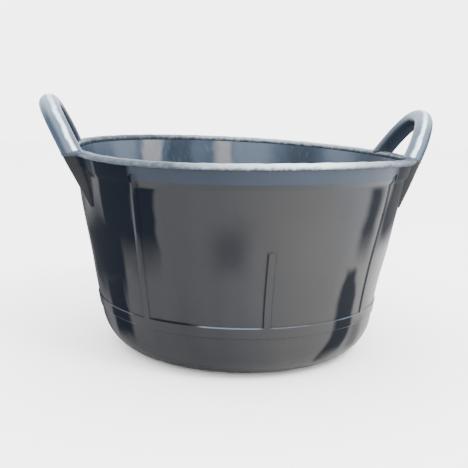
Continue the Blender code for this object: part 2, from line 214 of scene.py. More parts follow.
def shell_profile():
    """Radius and height from under the middle of the bottom, up outside and down inside."""
    corner = corner_line()
    travel = np.gradient(corner, axis=0)
    travel /= np.linalg.norm(travel, axis=1)[:, None]
    thickness = np.linspace(FLOOR_THICKNESS, WALL_THICKNESS, len(corner))[:, None]
    inner_corner = corner + np.stack([-travel[:, 1], travel[:, 0]], axis=1) * thickness
    heights = np.linspace(CORNER_HEIGHT, SHELL_TOP, WALL_STEPS)[1:]
    outer_wall = np.stack([wall_line(heights), heights], axis=1)
    inner_wall = outer_wall - np.array((WALL_THICKNESS, 0.0))
    under = np.array([(ring, 0.0) for ring in FLAT_RINGS])
    floor = np.array([(ring, FLOOR_THICKNESS) for ring in FLAT_RINGS])
    outside = np.concatenate([under, corner, outer_wall])
    inside = np.concatenate([inner_wall[::-1], inner_corner[::-1], floor[::-1]])
    return outside, inside


full_turn = np.linspace(-math.pi, math.pi, AROUND, endpoint=False)
outside, inside = shell_profile()
shell_rings = turned(np.concatenate([outside, inside]), full_turn).transpose(1, 0, 2)
shell = skin("tub_shell", shell_rings, closed=False)


class Value:
    """A shader socket, with the arithmetic on it written as it is on paper."""

    def __init__(self, tree, socket):
        self.tree = tree
        self.socket = socket

    def maths(self, operation, *values):
        """What a Math node makes of these values."""
        made = self.tree.nodes.new("ShaderNodeMath")
        made.operation = operation
        for place, value in enumerate(values):
            plug(self.tree, made.inputs[place], value)
        return Value(self.tree, made.outputs[0])

    def __add__(self, other):
        return self.maths("ADD", self, other)

    def __radd__(self, other):
        return self.maths("ADD", other, self)

    def __sub__(self, other):
        return self.maths("SUBTRACT", self, other)

    def __rsub__(self, other):
        return self.maths("SUBTRACT", other, self)

    def __mul__(self, other):
        return self.maths("MULTIPLY", self, other)

    def __rmul__(self, other):
        return self.maths("MULTIPLY", other, self)

    def __abs__(self):
        return self.maths("ABSOLUTE", self)

    def cosine(self):
        return self.maths("COSINE", self)

    def largest(self, *others):
        """The largest of this value and others, which lays patches over each other."""
        made = self
        for other in others:
            made = made.maths("MAXIMUM", made, other)
        return made


def plug(tree, target, value):
    """Links a shader value to a socket, or sets the socket."""
    if isinstance(value, Value):
        tree.links.new(value.socket, target)
    elif target.type == "RGBA" and len(value) == 3:
        target.default_value = (*value, 1.0)
    else:
        target.default_value = value


# a loose patch that wanders round by a radian ends this much higher or lower, in metres
WANDER_HEIGHT = 0.6


class Finish:
    """One finish of the tub, whose patterns are laid out on the part itself."""

    def __init__(self, name):
        self.material = bpy.data.materials.new(name)
        self.material.use_nodes = True
        self.tree = self.material.node_tree
        self.shader = self.tree.nodes["Principled BSDF"]
        self.place = self.node("ShaderNodeAttribute", {"attribute_name": "laid_at"}, {}, "Vector")
        self.x, self.y, self.z = (
            self.node("ShaderNodeSeparateXYZ", {}, {0: self.place}, axis) for axis in "XYZ"
        )
        self.angle = self.x.maths("ARCTAN2", self.x, -1.0 * self.y)
        self.wander = 0.0
        self.colour = None

    def node(self, kind, settings, inputs, output=0):
        """One output of a new node: its settings are made first, then its sockets."""
        made = self.tree.nodes.new(kind)
        for name, value in settings.items():
            setattr(made, name, value)
        for name, value in inputs.items():
            plug(self.tree, made.inputs[name], value)
        return Value(self.tree, made.outputs[output])

    def soft_step(self, value, low, high):
        """0 at low, 1 at high, and a soft change between them."""
        return self.node(
            "ShaderNodeMapRange",
            {"interpolation_type": "SMOOTHSTEP"},
            {"Value": value, "From Min": low, "From Max": high},
        )

    def stretched(self, around, up):
        """The place on the part, drawn out to make streaks or layers."""
        return self.node(
            "ShaderNodeVectorMath",
            {"operation": "MULTIPLY"},
            {0: self.place, 1: (around, around, up)},
        )

    def noise(self, scale, detail=3.0, place=None):
        """Uneven cloud from 0 to 1, so many features to a metre."""
        return self.node(
            "ShaderNodeTexNoise",
            {},
            {"Vector": place or self.place, "Scale": scale, "Detail": detail},
        )

    def patch(self, middle, half, low=-1, high=1, side_fade=4.0, end_fade=0.015, loose=1.0):
        """1 on a patch of the tub and 0 off it, with soft edges that wander if it is loose.

        The middle, half width and side fade are degrees round the tub, from the front to the
        right. The heights and the end fade are metres, and without heights it is a full strip.
        The middle and the half width may also be shader values, which change with height.
        """
        off = abs(self.angle + self.wander * loose - middle * DEGREE)
        off = off.maths("MINIMUM", off, 2 * math.pi - off)
        outer, inner = (half + side_fade / 2) * DEGREE, (half - side_fade / 2) * DEGREE
        beside = self.soft_step(off, outer, inner)
        level = self.z + self.wander * (loose * WANDER_HEIGHT)
        above = self.soft_step(level, low - end_fade / 2, low + end_fade / 2)
        below = self.soft_step(level, high + end_fade / 2, high - end_fade / 2)
        return beside * above * below

    def mix(self, share, first, second):
        """Colour between two colours."""
        return self.node(
            "ShaderNodeMix",
            {"data_type": "RGBA"},
            {0: share, 6: first, 7: second},
            2,
        )

    def set(self, **sockets):
        """Links or sets the shader's own sockets."""
        for name, value in sockets.items():
            plug(self.tree, self.shader.inputs[name.replace("_", " ")], value)

    def bump(self, height, distance, strength):
        """Fine unevenness of the surface, as a normal."""
        return self.node(
            "ShaderNodeBump",
            {},
            {"Height": height, "Distance": distance, "Strength": strength},
        )


# The outside is painted grey with a reflection of the bright studio, most of all towards the right
# of the front, over random grey bloom, and painted with dark reflections and shade in upright
# patches with soft edges
BLACK_RUBBER = (0.0092, 0.0096, 0.0112)
COOL_GREY = (0.0163, 0.0174, 0.0198)
WARM_GREY = (0.0184, 0.0179, 0.0177)
PAINTED_RIB_HIGHLIGHT = (0.026, 0.029, 0.033)
# colour of the painted dark reflections and painted shade
NAVY_SHADE = (0.0028, 0.0038, 0.0062)
# degrees round the tub of the side with the greyest painted reflection
GREYEST = 70
# a patch with this upper end runs on up to the rim
PAST_RIM = 0.30
# degrees round the tub of the ribs' middles, and how far left of them the painted highlights lie
LONG_RIB_TURNS = (-135, -45, 45, 135)
SHINE_ASIDE = (0.9, 0.9, 2.2, 2.2)
SHORT_RIB_TURNS = (0, 180)
# the painted shade in the grooves beside the long ribs ends at this height
GROOVE_TOP = 0.165


def tinted(colour, tint):
    """A colour times a tint."""
    return tuple(part * share for part, share in zip(colour, tint))


def painted_dark_patches(rubber):
    """1 where dark reflections and shade are painted on the wall, in upright patches with soft,
    uneven edges.
    """
    # the front, from the left handle to the right one
    by_left_handle = 0.8 * rubber.patch(-88, 14, 0.00, PAST_RIM, 12)
    under_left_ear = 0.8 * rubber.patch(-67.5, 5, COLLAR_BOTTOM, PAST_RIM, 3, 0.010)
    left_top = rubber.patch(-53.9, 8.0, 0.140, PAST_RIM, 2, 0.06)
    left_side = rubber.patch(-60.5, 7, 0.085, 0.195, 3, 0.06)
    further_left = rubber.patch(-71, 11, 0.080, 0.200, 12, 0.08)
    left_low = rubber.patch(-61.5, 6.2, 0.028, 0.115, 3, 0.03)
    left_panel = rubber.patch(-41.5, 3.7, 0.145, PAST_RIM, 2, 0.08)
    left_panel = left_panel * rubber.soft_step(rubber.z, PANEL_TOP - 0.001, PANEL_TOP - 0.004)
    middle_blotch = 0.5 * rubber.patch(-13.5, 5.2, 0.135, 0.195, 9, 0.05)
    streak_middle = 32.4 - 4 * rubber.soft_step(rubber.z, 0.055, 0.020)
    streak_half = 2.6 + 2.6 * rubber.soft_step(rubber.z, 0.130, 0.095)
    right_streak = 0.93 * rubber.patch(streak_middle, streak_half, 0.032, 0.132, 3, 0.02)
    right_cloud = 0.92 * rubber.patch(37.3, 3.6, 0.160, PAST_RIM, 5, 0.08)
    right_cloud = right_cloud * rubber.soft_step(rubber.z, PANEL_TOP + 0.004, PANEL_TOP - 0.006)
    right_top = 0.96 * rubber.patch(55.5, 11, 0.165, PAST_RIM, 5, 0.05)
    right_root = 0.45 * rubber.patch(76, 10, 0.175, PAST_RIM, 5, 0.05)
    right_low = 0.5 * rubber.patch(43, 4, 0.022, 0.060, 5, 0.02)
    # the sides and the back, which the photograph doesn't show
    right_back = 0.7 * rubber.patch(112, 7, 0.04, 0.22, 6, 0.09, 3)
    back_right = 0.8 * rubber.patch(151, 5, 0.09, PANEL_TOP, 5, 0.07, 3)
    back_left = 0.6 * rubber.patch(-168, 8, 0.03, 0.17, 8, 0.08, 3)
    left_back = 0.9 * rubber.patch(-124, 8, 0.10, PAST_RIM, 6, 0.09, 3)
    return by_left_handle.largest(
        under_left_ear, left_top, left_side, further_left, left_low, left_panel, middle_blotch,
        right_streak, right_cloud, right_top, right_root, right_low,
        right_back, back_right, back_left, left_back,
    )


def rib_painted_highlight(rubber):
    """1 on a painted highlight along one edge of each long rib."""
    return sum(
        rubber.patch(turn - aside, 0.5, 0.150, PANEL_TOP, 0.7, 0.08, 0)
        for turn, aside in zip(LONG_RIB_TURNS, SHINE_ASIDE)
    )


def rib_painted_shade(rubber):
    """1 where shade is painted: beside the ribs, in the notches over them and over the base band.
    """
    dirt = 0.9 * rubber.patch(-34.5, 8, BAND_TOP - 0.0006, BAND_TOP + 0.0020, 5, 0.0008, 0)
    for turn in LONG_RIB_TURNS:
        notch = rubber.patch(turn - 1, 0.8, NOTCH_TOP - 0.011, NOTCH_TOP - 0.001, 0.9, 0.004, 0)
        groove = 0.6 * rubber.patch(turn - 1.5, 0.26, BAND_TOP, GROOVE_TOP, 0.5, 0.02, 0)
        beside = 0.95 * rubber.patch(turn + 1.0, 1.3, GROOVE_TOP, PANEL_TOP, 0.9, 0.06, 0)
        dirt = dirt.largest(notch, groove, beside)
    for turn in SHORT_RIB_TURNS:
        groove = 0.75 * rubber.patch(turn - 1.45, 0.26, BAND_TOP, SHORT_RIB_TOP, 0.7, 0.004, 0)
        dirt = dirt.largest(groove)
    return dirt


def wall_finish(name, tint=None, tinted_from=0.0):
    """Shiny black rubber of the outside, with grey bloom under a painted grey reflection, painted
    dark reflections and shade, and painted highlights along the long ribs.

    Where a tint is given, the rubber above the height tinted_from takes it.
    """
    rubber = Finish(name)
    rubber.wander = (rubber.noise(16.0, 2.0) - 0.5) * (6 * DEGREE)
    clouds = rubber.noise(11.0, 4.0) - 0.5
    streaks = rubber.noise(42.0, 3.0, rubber.stretched(1.0, 0.10)) - 0.5
    # the side facing GREYEST gets a painted grey reflection; the clouds and streaks are random
    # bloom
    facing = 0.5 + 0.5 * (rubber.angle - GREYEST * DEGREE).cosine()
    grey = rubber.soft_step(facing, 0.35, 0.95) + 0.45 * clouds + 0.25 * streaks
    # painted highlights along one edge of each long rib
    painted_highlight = rib_painted_highlight(rubber)
    # painted dark reflections and painted shade, lightened where the rib highlights are painted
    black = (painted_dark_patches(rubber) * (1 - 0.85 * painted_highlight)).largest(rib_painted_shade(rubber))
    grain = rubber.noise(900.0, 2.0)
    warmth = rubber.soft_step(rubber.noise(8.0, 3.0), 0.38, 0.62)
    bloom_and_sheen = rubber.mix(grey, BLACK_RUBBER, rubber.mix(warmth, COOL_GREY, WARM_GREY))
    if tint:
        bluish = rubber.mix(grey, tinted(BLACK_RUBBER, tint), tinted(COOL_GREY, tint))
        above = rubber.soft_step(rubber.z, tinted_from - 0.001, tinted_from + 0.001)
        bloom_and_sheen = rubber.mix(above, bloom_and_sheen, bluish)
    bloom_and_sheen = rubber.mix(0.8 * painted_highlight, bloom_and_sheen, PAINTED_RIB_HIGHLIGHT)
    rubber.colour = rubber.mix(black, bloom_and_sheen, NAVY_SHADE)
    rubber.set(
        Base_Color=rubber.colour,
        Roughness=0.5 + 0.2 * clouds,
        Specular_IOR_Level=0.0,
        Coat_Weight=(0.22 + 0.20 * grey) * (1 - 0.88 * black),
        Coat_Roughness=0.22,
        Normal=rubber.bump(grain, 0.0002, 0.12),
    )
    return rubber


# The inside is shiny, with painted reflections in upright light, rosy and dark bands, fine
# scuffs, and darker towards the bottom
INNER_BLUE = (0.016, 0.026, 0.043)
INNER_CLOUD = (0.027, 0.041, 0.062)
INNER_REFLECTED_LIGHT = (0.050, 0.066, 0.090)
INNER_REFLECTED_ROSY = (0.112, 0.114, 0.124)
INNER_REFLECTED_DARK = (0.007, 0.014, 0.023)
INNER_SCUFF = (0.070, 0.085, 0.110)
INNER_BOTTOM = (0.012, 0.015, 0.020)
inner = Finish("body_rubber_inside")
inner.wander = (inner.noise(30.0, 2.0) - 0.5) * (7 * DEGREE)
inner_clouds = inner.noise(26.0, 4.0)
# painted reflections: light, rosy and dark upright bands
reflected_light_bands = inner.patch(-136, 6, 0.10, PAST_RIM, 9, 0.10).largest(
    inner.patch(165, 9, 0.08, PAST_RIM, 9, 0.10),
    inner.patch(124, 6, 0.12, PAST_RIM, 8, 0.10),
    inner.patch(60, 8, 0.10, PAST_RIM, 9, 0.10),
    inner.patch(-50, 9, 0.10, PAST_RIM, 9, 0.10),
)
reflected_rosy_bands = inner.patch(-149.5, 4.2, 0.10, PAST_RIM, 3.5, 0.10).largest(
    inner.patch(177.5, 3.2, 0.14, PAST_RIM, 4, 0.08),
    0.7 * inner.patch(20, 4, 0.12, PAST_RIM, 4, 0.08),
)
reflected_dark_bands = inner.patch(-163.5, 5.5, 0.05, PAST_RIM, 4, 0.08).largest(
    inner.patch(142, 7, 0.08, PAST_RIM, 8, 0.08),
    0.6 * inner.patch(-111, 4, 0.10, PAST_RIM, 5, 0.08),
    0.7 * inner.patch(104, 8, 0.10, PAST_RIM, 8, 0.08),
    0.8 * inner.patch(-12, 7, 0.05, PAST_RIM, 6, 0.08),
)
scuffs = inner.soft_step(inner.noise(260.0, 4.0, inner.stretched(1.0, 0.16)), 0.56, 0.74)
up_the_wall = inner.soft_step(inner.z, 0.02, 0.20)
inner_colour = inner.mix(inner_clouds, INNER_BLUE, INNER_CLOUD)
inner_colour = inner.mix(reflected_light_bands, inner_colour, INNER_REFLECTED_LIGHT)
inner_colour = inner.mix(reflected_rosy_bands, inner_colour, INNER_REFLECTED_ROSY)
inner_colour = inner.mix(0.85 * reflected_dark_bands, inner_colour, INNER_REFLECTED_DARK)
inner_colour = inner.mix(0.25 * scuffs, inner_colour, INNER_SCUFF)
inner.set(
    Base_Color=inner.mix(up_the_wall, INNER_BOTTOM, inner_colour),
    Roughness=0.45 + 0.2 * inner_clouds,
    Specular_IOR_Level=0.0,
    Coat_Weight=0.15 + 0.2 * inner_clouds,
    Coat_Roughness=0.28,
    Normal=inner.bump(inner.noise(700.0, 2.0), 0.0002, 0.15),
)
shell.data.materials.append(wall_finish("body_rubber_outside").material)
shell.data.materials.append(inner.material)
# finish 0 up the outside and 1 down the inside, then the two small faces in the middle
outside_faces = (len(outside) - 1) * AROUND
inside_faces = len(inside) * AROUND
finish_of_face = [0] * outside_faces + [1] * inside_faces + [0, 1]
shell.data.polygons.foreach_set("material_index", finish_of_face)
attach(shell, "tub")
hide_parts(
    "bottom_disc",
    "wall_blank_front",
    "wall_blank_back",
    "wall_blank_left",
    "wall_blank_right",
)


# Base band: a raised strip round the foot of the wall, laid over it as a flat ribbon of
# rubber and pressed to an even height by a groove of the mould.
band_low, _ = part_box("base_band")
BAND_BOTTOM = band_low.z
# how far a strip stands out and how wide its edge is, and how deep edge and back lie in the wall
RELIEF = 0.0015
STRIP_EDGE = 0.0013
SUNK = 0.0004
STRIP_ROOT = 0.0015
# points over each edge of the band, and over its face between them
EDGE_STEPS, FACE_STEPS = 9, 6
# Painted highlights lie as light lines along the band's edges, the upper one most of all just left
# of the middle.
# A line lies a little inside the edge, and fades out from its core
LINE_INSET = 0.0004
LINE_CORE, LINE_HALF = 0.0001, 0.0012
LINE_HIGHLIGHT = (0.064, 0.078, 0.105)
strip = wall_finish("strip_rubber")
upper_line = strip.soft_step(abs(strip.z - (BAND_TOP - LINE_INSET)), LINE_HALF, LINE_CORE)
lower_line = strip.soft_step(abs(strip.z - (BAND_BOTTOM + LINE_INSET)), LINE_HALF, LINE_CORE)
upper_line = upper_line * strip.patch(-13, 11, side_fade=3, loose=0).largest(
    0.4 * strip.patch(9, 7.5, side_fade=2, loose=0),
    0.2 * strip.patch(22, 8, side_fade=8),
    0.6 * strip.patch(42, 14, side_fade=8),
    0.4 * strip.patch(-61, 8),
    0.5 * strip.patch(180, 60, side_fade=20),
)
lower_line = lower_line * (0.6 * strip.patch(44, 14, side_fade=12)).largest(
    0.4 * strip.patch(-62, 9),
    0.3 * strip.patch(180, 60, side_fade=20),
)
strip.set(Base_Color=strip.mix(upper_line.largest(lower_line), strip.colour, LINE_HIGHLIGHT))
strip_rubber = strip.material


def strip_height(inside_edge):
    """Height of a raised strip above the wall, by the distance inside its edge."""
    return (RELIEF + SUNK) * smooth(inside_edge, -STRIP_EDGE / 2, STRIP_EDGE / 2) - SUNK


def band_profile():
    """Section of the band: over its face from the top edge to the lower one, and back."""
    edge = np.linspace(-STRIP_EDGE, STRIP_EDGE, EDGE_STEPS)
    width = BAND_TOP - BAND_BOTTOM
    flat = np.linspace(STRIP_EDGE, width - STRIP_EDGE, FACE_STEPS)[1:-1]
    heights = BAND_BOTTOM + np.concatenate([edge, flat, width - edge[::-1]])
    inside_edge = np.minimum(heights - BAND_BOTTOM, BAND_TOP - heights)
    face = np.stack([wall_line(heights) + strip_height(inside_edge), heights], axis=1)
    back = np.stack([wall_line(heights) - STRIP_ROOT, heights], axis=1)
    return np.concatenate([face, back[::-1]])


band = skin("base_band_dressed", turned(band_profile(), full_turn), closed=True)
band.data.materials.append(strip_rubber)
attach(band, "tub")
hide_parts("base_band")


# Rim collar: a thicker strip round the wall just under the lip, so that the mouth keeps its
# shape. The mould gives it a slope at its lower edge and a round notch over each long rib.
COLLAR_PROUD_TOP = 0.0038
COLLAR_PROUD_BOTTOM = 0.0026
LONG_RIB_ANGLES = [turn * DEGREE for turn in LONG_RIB_TURNS]
COLLAR_EDGE = 0.0012
COLLAR_TINT = (0.9, 1.25, 1.7)
NOTCH_HALF = 0.0036
NOTCH_EDGE = 0.0011
# radians from a notch's middle, and the step, of the finer rings
NOTCH_ZONE, NOTCH_STEP = 0.030, 0.0018


def refined(centres, half_width, step):
    """Angles all round, with finer steps near some of them."""
    fine = [np.arange(middle - half_width, middle + half_width, step) for middle in centres]
    kept = full_turn
    for middle in centres:
        kept = kept[np.abs(kept - middle) > half_width + step]
    return np.sort(np.concatenate([kept, *fine]))


def collar_rings(angles):
    """Sections of the collar round the tub, with the notches pressed in."""
    # the levels lie closer together where the section bends
    heights = np.concatenate([
        np.linspace(PANEL_TOP - COLLAR_EDGE, PANEL_TOP + COLLAR_EDGE, 5),
        np.linspace(PANEL_TOP + 1.5 * COLLAR_EDGE, COLLAR_BOTTOM - 0.0010, 7),
        np.linspace(COLLAR_BOTTOM - COLLAR_EDGE / 2, COLLAR_BOTTOM + COLLAR_EDGE, 5),
        np.linspace(COLLAR_BOTTOM + 0.0020, BEAD_BOTTOM + SUNK, 20),
    ])
    slope = COLLAR_PROUD_BOTTOM * (heights - PANEL_TOP) / (COLLAR_BOTTOM - PANEL_TOP)
    straight = COLLAR_PROUD_BOTTOM + (COLLAR_PROUD_TOP - COLLAR_PROUD_BOTTOM) * (
        heights - COLLAR_BOTTOM
    ) / (BEAD_BOTTOM - COLLAR_BOTTOM)
    share = smooth(heights, COLLAR_BOTTOM - COLLAR_EDGE, COLLAR_BOTTOM + COLLAR_EDGE)
    proud = slope * (1 - share) + straight * share
    proud = np.broadcast_to(proud, (len(angles), len(heights))).copy()
    for middle in LONG_RIB_ANGLES:
        across = (angles[:, None] - middle) * wall_line(COLLAR_BOTTOM)
        up = np.maximum(heights[None, :] - (NOTCH_TOP - NOTCH_HALF), 0)
        inside_edge = NOTCH_HALF - np.hypot(across, up)
        notch = smooth(inside_edge, -NOTCH_EDGE, NOTCH_EDGE)
        proud = proud * (1 - notch) - SUNK * notch
    radius = wall_line(heights)[None, :] + proud
    back = np.broadcast_to(wall_line(heights) - STRIP_ROOT, radius.shape)
    radius = np.concatenate([radius, back[:, ::-1]], axis=1)
    return round_points(radius, angles[:, None], np.concatenate([heights, heights[::-1]]))


collar_angles = refined(LONG_RIB_ANGLES, NOTCH_ZONE, NOTCH_STEP)
collar = skin("rim_collar_dressed", collar_rings(collar_angles), closed=True)
collar_rubber = wall_finish("collar_rubber", COLLAR_TINT, COLLAR_BOTTOM)
collar.data.materials.append(collar_rubber.material)
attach(collar, "tub")
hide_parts("rim_collar")


# Rim bead: the rounded lip round the mouth, a rope of rubber rolled over the wall's edge. It
# widens into an ear under each foot of the handles.
BEAD_ROUNDING = 0.0034
BEAD_CURL = 70 * DEGREE
BEAD_INNER = wall_line(BEAD_BOTTOM) - WALL_THICKNESS
# its hidden edges: the inner one goes down and into the wall, the outer one into the collar
BEAD_TAIL, BEAD_TAIL_INSET = 0.004, 0.001
BEAD_LAP = 0.0002
BEAD_SEAT = 0.0005
CROWN_RISE = 0.0004
LOOP_HALF_SPAN = 0.056
LOOP_PLANE_X = math.sqrt(RIM_RADIUS ** 2 - LOOP_HALF_SPAN ** 2)
# how the left handle (-1) and the right one (1) stand: how far they lean out, and how much
# further out their feet are
LOOP_LEAN = {-1: 27.2 * DEGREE, 1: 30.0 * DEGREE}
LOOP_OUT = {-1: 0.0022, 1: -0.0012}
ROD_RADIUS = 0.0122
EAR_DROOP = 0.0060
EAR_MIDDLE = 0.0556
# an ear reaches a little past the handle's outer side
EAR_MARGIN = 0.0007
EAR_REACH = {}
for side, lean in LOOP_LEAN.items():
    foot = LOOP_PLANE_X + LOOP_OUT[side] + ROD_RADIUS / math.cos(lean) - EAR_DROOP * math.tan(lean)
    EAR_REACH[side] = math.hypot(foot + EAR_MARGIN, LOOP_HALF_SPAN)
EAR_HALF_WIDTH = 0.0162
EAR_ROOT = wall_line(TUB_HEIGHT) - WALL_THICKNESS / 2
EAR_FILLET = 0.0030
# what the soft change between ear and rim adds beside an ear
FILLET_GAIN = EAR_FILLET / 60
# an ear droops from this far inside the rim, more and more outwards, and less underneath
DROOP_START = 0.005
DROOP_CURVE = 1.2
DROOP_UNDERNEATH = 0.25
EAR_OFFSET = math.asin(EAR_MIDDLE / RIM_RADIUS)
# side and angle of each ear: left front, left back, right front and right back
EARS = [
    (side, side * (math.pi / 2 + turn * EAR_OFFSET)) for side in (-1, 1) for turn in (-1, 1)
]
# radians from an ear's middle, and the step, of the finer rings
EAR_ZONE, EAR_STEP = 0.105, 0.0035
# points over the lip's upper roundings, the outer one's curl underneath, and the crown
ROUND_STEPS, CURL_STEPS, CROWN_STEPS = 9, 7, 8
# slight waves of a lip pressed by hand: waves round the tub, start, height
BEAD_WAVES = ((31, 0.3, 0.00016), (53, 1.9, 0.00012), (87, 4.4, 0.00008))


def soft_largest(first, second, width):
    """The larger of two values, with a rounded change from one to the other."""
    apart = (first - second) / width
    return (first + second) / 2 + width * np.sqrt(apart ** 2 + 0.25) / 2


def lip_reach(angles):
    """Outer radius of the bead, with the ears."""
    reach = np.full(len(angles), RIM_RADIUS)
    for side, middle in EARS:
        across = (angles - middle) * RIM_RADIUS / EAR_HALF_WIDTH
        round_share = np.sqrt(np.clip(1 - across ** 2, 0, 1))
        ear = EAR_ROOT + (EAR_REACH[side] - EAR_ROOT) * round_share
        near = np.abs(across) < 2
        reach = np.where(near, soft_largest(reach, ear, EAR_FILLET), reach)
    return reach - FILLET_GAIN


def bead_rings(angles):
    """Sections of the bead: up its inner side, over the top, out and back underneath."""
    reach = lip_reach(angles)[:, None]
    wave = sum(depth * np.sin(turns * angles + start) for turns, start, depth in BEAD_WAVES)
    arc = np.linspace(0, math.pi / 2, ROUND_STEPS)
    low_arc = np.linspace(0, BEAD_CURL, CURL_STEPS)[1:]
    inner_r = BEAD_INNER + BEAD_ROUNDING * (1 - np.cos(arc))
    inner_z = TUB_HEIGHT - BEAD_ROUNDING * (1 - np.sin(arc))
    ones = np.ones_like(reach)
    crown = np.linspace(0, 1, CROWN_STEPS)[1:-1]
    top_start = BEAD_INNER + BEAD_ROUNDING
    radii = [
        ones * (BEAD_INNER + BEAD_TAIL_INSET),
        ones * BEAD_INNER,
        ones * inner_r,
        top_start + (reach - BEAD_ROUNDING - top_start) * crown,
        reach - BEAD_ROUNDING + BEAD_ROUNDING * np.sin(arc),
        reach - BEAD_ROUNDING + BEAD_ROUNDING * np.cos(low_arc),
        ones * (wall_line(BEAD_BOTTOM) + COLLAR_PROUD_TOP - BEAD_LAP),
        ones * (wall_line(BEAD_BOTTOM) + BEAD_SEAT),
    ]
    levels = [
        ones * (BEAD_BOTTOM - BEAD_TAIL),
        ones * (BEAD_BOTTOM - BEAD_TAIL / 2),
        ones * inner_z,
        ones * (TUB_HEIGHT + CROWN_RISE * np.sin(math.pi * crown)),
        ones * (TUB_HEIGHT - BEAD_ROUNDING * (1 - np.cos(arc))),
        ones * (BEAD_BOTTOM + BEAD_ROUNDING * (1 - np.sin(low_arc))),
        ones * (BEAD_BOTTOM - BEAD_LAP),
        ones * (BEAD_BOTTOM - BEAD_LAP),
    ]
    radius = np.concatenate(radii, axis=1)
    level = np.concatenate(levels, axis=1) + wave[:, None]
    furthest = np.where(angles < 0, EAR_REACH[-1], EAR_REACH[1])[:, None]
    ear = np.clip((reach - RIM_RADIUS) / (furthest - RIM_RADIUS), 0, 1)
    droop_start = RIM_RADIUS - DROOP_START
    outward = np.clip((radius - droop_start) / (furthest - droop_start), 0, 1)
    upper = np.clip((level - BEAD_BOTTOM) / (TUB_HEIGHT - BEAD_BOTTOM), 0, 1)
    droop = DROOP_UNDERNEATH + (1 - DROOP_UNDERNEATH) * upper
    level = level - EAR_DROOP * ear * outward ** DROOP_CURVE * droop
    return round_points(radius, angles[:, None], level)


bead_angles = refined([middle for side, middle in EARS], EAR_ZONE, EAR_STEP)
bead = skin("rim_bead_dressed", bead_rings(bead_angles), closed=True)
# The lip is painted with a light blue-grey highlight, most of all at the front, and less right of
# it, and painted shade darkens its underside
LIP_UNDER_SHADE = (0.014, 0.019, 0.025)
LIP_PLAIN = (0.035, 0.046, 0.062)
LIP_PAINTED_HIGHLIGHT = (0.40, 0.46, 0.50)
lip = Finish("lip_rubber")
lip_clouds = lip.noise(60.0, 3.0)
lip_spots = lip.noise(170.0, 3.0) - 0.5
# painted highlight on the lip, strongest at the front, fainter at the back and dimmer right of the
# front
front_highlight = lip.patch(11, 24, side_fade=54)
back_highlight = 0.35 * lip.patch(152, 40, side_fade=60)
dull_right = lip.patch(44, 24, side_fade=16)
lip_highlight = front_highlight.largest(back_highlight) + 0.25 * (lip_clouds - 0.5) + 0.25 * lip_spots
# painted shade: crown is 0 on the lip's underside and 1 on its lit top
crown = lip.soft_step(lip.z + 0.005 * lip_spots, BEAD_BOTTOM + 0.0005, BEAD_BOTTOM + 0.0055)
lip_colour = lip.mix(lip_highlight * (1 - 0.5 * dull_right), LIP_PLAIN, LIP_PAINTED_HIGHLIGHT)
lip.set(
    Base_Color=lip.mix(crown, LIP_UNDER_SHADE, lip_colour),
    Roughness=0.4 + 0.2 * lip_clouds,
    Specular_IOR_Level=0.0,
    Coat_Weight=(0.25 + 0.7 * lip_highlight) * (1 - 0.6 * dull_right),
    Coat_Roughness=0.20,
    Normal=lip.bump(lip.noise(500.0, 2.0), 0.0002, 0.12),
)
bead.data.materials.append(lip.material)
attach(bead, "tub")
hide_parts("rim_bead")


# Ribs: raised strips up the wall, two short ones with round tops in the middle of the front
# and the back, and four long ones over the seams of the wall's blanks, up into the collar.
RIB_WIDTH = 0.0092
RIB_MARGIN = 0.0018
RIB_START = 0.0030
# how far under the band's top edge a rib begins to rise out of it, and is out of it
RIB_RISE_LOW, RIB_RISE_HIGH = 0.0018, 0.0002
# points across a rib
RIB_STEPS = 33


def rib_rings(middle, top):
    """Sections of a rib from the band up to its round top."""
    half = RIB_WIDTH / 2
    across = np.linspace(-half - RIB_MARGIN, half + RIB_MARGIN, RIB_STEPS)
    # the levels lie closer together over the band's edge and round the top
    heights = np.concatenate([
        np.linspace(BAND_TOP - RIB_START, BAND_TOP + 0.0005, 8),
        np.linspace(BAND_TOP + RIB_START, top - half - 0.001, 44),
        np.linspace(top - half, top + RIB_MARGIN, 14),
    ])
    up = np.maximum(heights[:, None] - (top - half), 0)
    inside_edge = half - np.hypot(across[None, :], up)
    lift = strip_height(inside_edge)
    risen = smooth(heights, BAND_TOP - RIB_RISE_LOW, BAND_TOP - RIB_RISE_HIGH)[:, None]
    lift = lift * risen - SUNK * (1 - risen)
    radius = wall_line(heights)[:, None] + lift
    back = np.broadcast_to(wall_line(heights)[:, None] - STRIP_ROOT, radius.shape)
    radius = np.concatenate([radius, back[:, ::-1]], axis=1)
    turn = middle + np.concatenate([across, across[::-1]]) / wall_line(heights)[:, None]
    return round_points(radius, turn, heights[:, None])


ribs = (
    ("short_rib_front", 0, SHORT_RIB_TOP),
    ("short_rib_back", 180, SHORT_RIB_TOP),
    ("long_rib_front_left", -45, NOTCH_TOP),
    ("long_rib_front_right", 45, NOTCH_TOP),
    ("long_rib_back_left", -135, NOTCH_TOP),
    ("long_rib_back_right", 135, NOTCH_TOP),
)
for node, turn, top in ribs:
    rib = skin(node + "_dressed", rib_rings(turn * DEGREE, top), closed=False)
    rib.data.materials.append(strip_rubber)
    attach(rib, "tub")
    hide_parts(node)


# Handle roots: wedges that carry the pull of a handle's legs down into the wall. Each is a
# tapered lump of rubber under an ear, pressed in by the mould.
ROOT_LENGTH = 0.068
ROOT_TIP_HALF_WIDTH = 0.0025
ROOT_TIP_PROUD = 0.0022
ROOT_HALF_WIDTH = 0.0131
ROOT_LEAN = 6.5 * DEGREE
# a root's top end lies a little up in the ear and inside the ear's edge
ROOT_TOP_SINK = 0.001
ROOT_TOP_INSET = 0.0004
# its width is laid off this far outside the wall
ROOT_MIDDLE_PROUD = 0.004
# sections from the tip to the ear, and points round each
ROOT_STEPS, ROOT_SIDES = 30, 25


